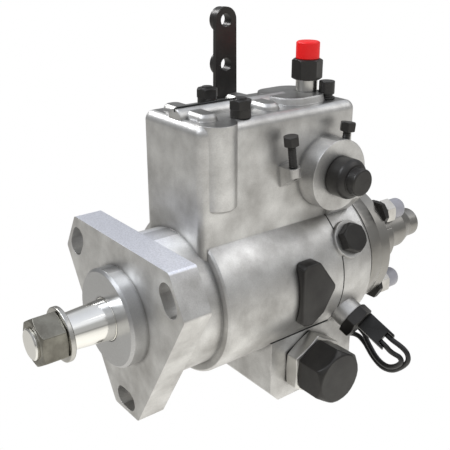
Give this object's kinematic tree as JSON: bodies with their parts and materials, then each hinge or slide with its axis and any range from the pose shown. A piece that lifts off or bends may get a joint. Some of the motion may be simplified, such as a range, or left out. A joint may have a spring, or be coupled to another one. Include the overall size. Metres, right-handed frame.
{
  "type": "fuel injection pump",
  "caption": "Rotary distributor diesel injection pump with slotted mounting flange, governor box, throttle lever, timing advance and rear discharge fittings.",
  "frame": {"origin": "centre of the pilot on the mounting face", "axes": "drive axis along Y with the shaft nose at -Y, governor cover at +Z, sensor and stop screws at +X"},
  "size_m": [0.117, 0.226, 0.1867],
  "materials": {
    "cast_aluminium": "sand-cast, lightly mottled, satin",
    "steel": "turned steel",
    "polished_steel": "ground and polished",
    "dull_steel": "dull, slightly olive",
    "black_steel": "black oxide, satin",
    "white_zinc": "pale zinc, satin",
    "black_plastic": "satin",
    "red_plastic": "smooth",
    "grey_plastic": "translucent grey look",
    "rubber": "matte",
    "bronze": "bearing bronze",
    "gasket": "fibre gasket"
  },
  "bodies": {
    "pump": {"housing": "cast_aluminium", "bushing": "bronze", "shaft_seals": "rubber", "governor_cover": "cast_aluminium", "cover_gasket": "gasket", "cover_screws": "black_steel", "return_connector": "polished_steel", "return_nut": "black_steel", "return_cap": "red_plastic", "terminal": "black_plastic", "solenoid": "steel", "side_cap": "black_steel", "stop_screws": "black_steel", "timing_cover": "black_steel", "lock_screws": "black_steel", "advance_sleeve": "steel", "advance_cap": "black_steel", "advance_spring": "steel", "power_plug": "steel", "distributor_head": "steel", "head_o_ring": "rubber", "head_band": "black_steel", "rear_disc": "steel", "pivot_shaft": "steel", "guide_stud": "steel", "governor_spring": "steel", "transfer_liner": "steel", "end_plate": "dull_steel", "inlet_fitting": "dull_steel", "fitting_bodies": "black_steel", "fitting_nuts": "white_zinc", "fitting_caps": "grey_plastic", "sensor_body": "black_steel", "sensor_connector": "black_plastic", "wire_a": "rubber", "wire_b": "rubber"},
    "drive_train": {"drive_shaft": "polished_steel", "shaft_washer": "steel", "shaft_nut": "dull_steel", "weight_cage": "steel", "rotor": "steel", "shoes": "steel", "rollers": "steel", "plungers": "steel", "transfer_blades": "steel"},
    "throttle": {"throttle_shaft": "steel", "throttle_lever": "black_steel", "lever_nut": "dull_steel"},
    "weight_a": {"weight_1": "steel"},
    "weight_b": {"weight_2": "steel"},
    "weight_c": {"weight_3": "steel"},
    "weight_d": {"weight_4": "steel"},
    "thrust": {"thrust_sleeve": "steel"},
    "arm": {"governor_arm": "steel"},
    "hook": {"linkage_hook": "steel"},
    "metering": {"metering_valve": "steel"},
    "cam": {"cam_ring": "steel", "cam_pin": "steel"},
    "advance": {"advance_piston": "steel"},
    "shut_off": {"solenoid_plunger": "steel"}
  },
  "joints": [
    {"name": "drive_turn", "type": "hinge", "parent": "pump", "child": "drive_train", "pos_m": [0, 0, 0], "axis": [0, -1, 0], "continuous": true},
    {"name": "throttle_turn", "type": "hinge", "parent": "pump", "child": "throttle", "pos_m": [0, 0.101, 0.0538], "axis": [1, 0, 0], "range_deg": [0, 35]},
    {"name": "weight_a_swing", "type": "hinge", "parent": "drive_train", "child": "weight_a", "pos_m": [0.01697, 0.043, 0.01697], "axis": [0.7071, 0, -0.7071], "range_deg": [0, 12]},
    {"name": "weight_b_swing", "type": "hinge", "parent": "drive_train", "child": "weight_b", "pos_m": [-0.01697, 0.043, 0.01697], "axis": [0.7071, 0, 0.7071], "range_deg": [0, 12]},
    {"name": "weight_c_swing", "type": "hinge", "parent": "drive_train", "child": "weight_c", "pos_m": [-0.01697, 0.043, -0.01697], "axis": [-0.7071, 0, 0.7071], "range_deg": [0, 12]},
    {"name": "weight_d_swing", "type": "hinge", "parent": "drive_train", "child": "weight_d", "pos_m": [0.01697, 0.043, -0.01697], "axis": [-0.7071, 0, -0.7071], "range_deg": [0, 12]},
    {"name": "thrust_slide", "type": "slide", "parent": "drive_train", "child": "thrust", "axis": [0, 1, 0], "range_m": [0, 0.00294]},
    {"name": "arm_tilt", "type": "hinge", "parent": "pump", "child": "arm", "pos_m": [0, 0.068, 0.042], "axis": [1, 0, 0], "range_deg": [0, 4.01]},
    {"name": "hook_slide", "type": "slide", "parent": "pump", "child": "hook", "axis": [0, -1, 0], "range_m": [0, 0.00196]},
    {"name": "metering_turn", "type": "hinge", "parent": "pump", "child": "metering", "pos_m": [-0.01, 0.1124, 0.04], "axis": [0, 0, -1], "range_deg": [0, 9.19]},
    {"name": "cam_turn", "type": "hinge", "parent": "pump", "child": "cam", "pos_m": [0, 0.0894, 0], "axis": [0, 1, 0], "range_deg": [0, 6.64]},
    {"name": "advance_slide", "type": "slide", "parent": "pump", "child": "advance", "axis": [1, 0, 0], "range_m": [-0.005, 0]},
    {"name": "shut_off_slide", "type": "slide", "parent": "pump", "child": "shut_off", "axis": [0, 0, 1], "range_m": [0, 0.003]}
  ],
  "couplings": [
    {"joint": "weight_b_swing", "follows": "weight_a_swing", "ratio": 1},
    {"joint": "weight_c_swing", "follows": "weight_a_swing", "ratio": 1},
    {"joint": "weight_d_swing", "follows": "weight_a_swing", "ratio": 1},
    {"joint": "thrust_slide", "follows": "weight_a_swing", "m_per_rad": 0.014},
    {"joint": "arm_tilt", "follows": "weight_a_swing", "ratio": 0.33333},
    {"joint": "hook_slide", "follows": "weight_a_swing", "m_per_rad": 0.009333},
    {"joint": "metering_turn", "follows": "weight_a_swing", "ratio": 0.765},
    {"joint": "advance_slide", "follows": "cam_turn", "m_per_rad": -0.0431}
  ]
}
